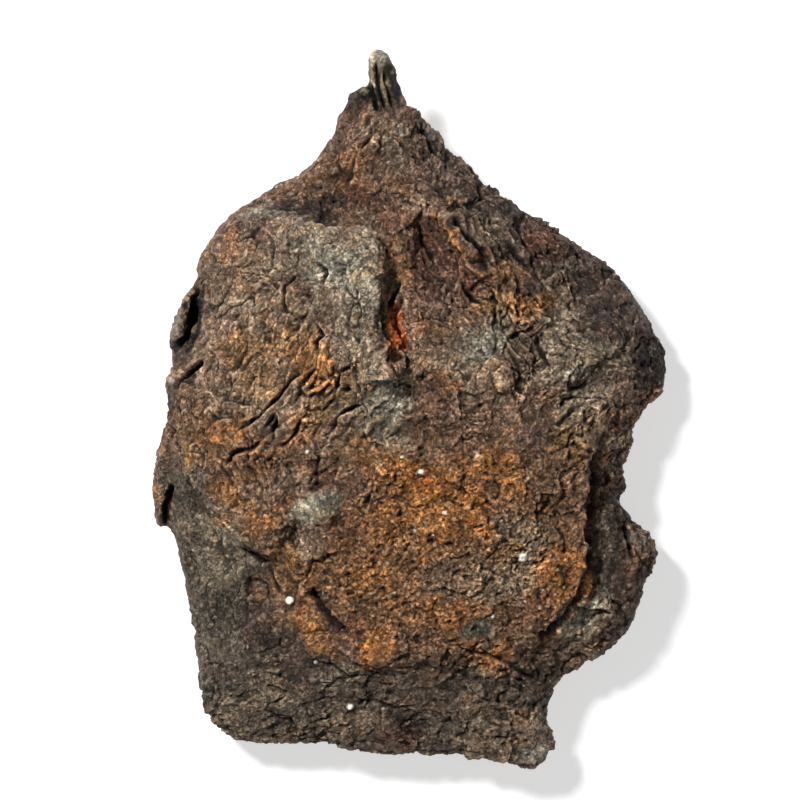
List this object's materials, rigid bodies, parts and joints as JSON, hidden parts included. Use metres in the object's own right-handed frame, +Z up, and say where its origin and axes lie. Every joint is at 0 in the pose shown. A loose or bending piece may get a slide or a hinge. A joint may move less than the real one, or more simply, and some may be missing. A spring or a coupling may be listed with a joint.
{
  "type": "iron meteorite fragment",
  "caption": "Flat torn fragment of rusted meteoric iron with a pointed peak, a curled horn, a round bay in its side, a deep cleft and a raised crumbly mass.",
  "frame": {"origin": "on the floor under the middle of the fragment, which lies on its back", "axes": "+Y along the fragment to its peak, +X across it towards the side with the bay, +Z up out of the face that shows"},
  "size_m": [0.0692, 0.096, 0.0204],
  "materials": {
    "crust": "matte, rusted and grainy, with a few worn metal edges"
  },
  "bodies": {
    "root": {"meteorite": "crust"}
  },
  "joints": []
}
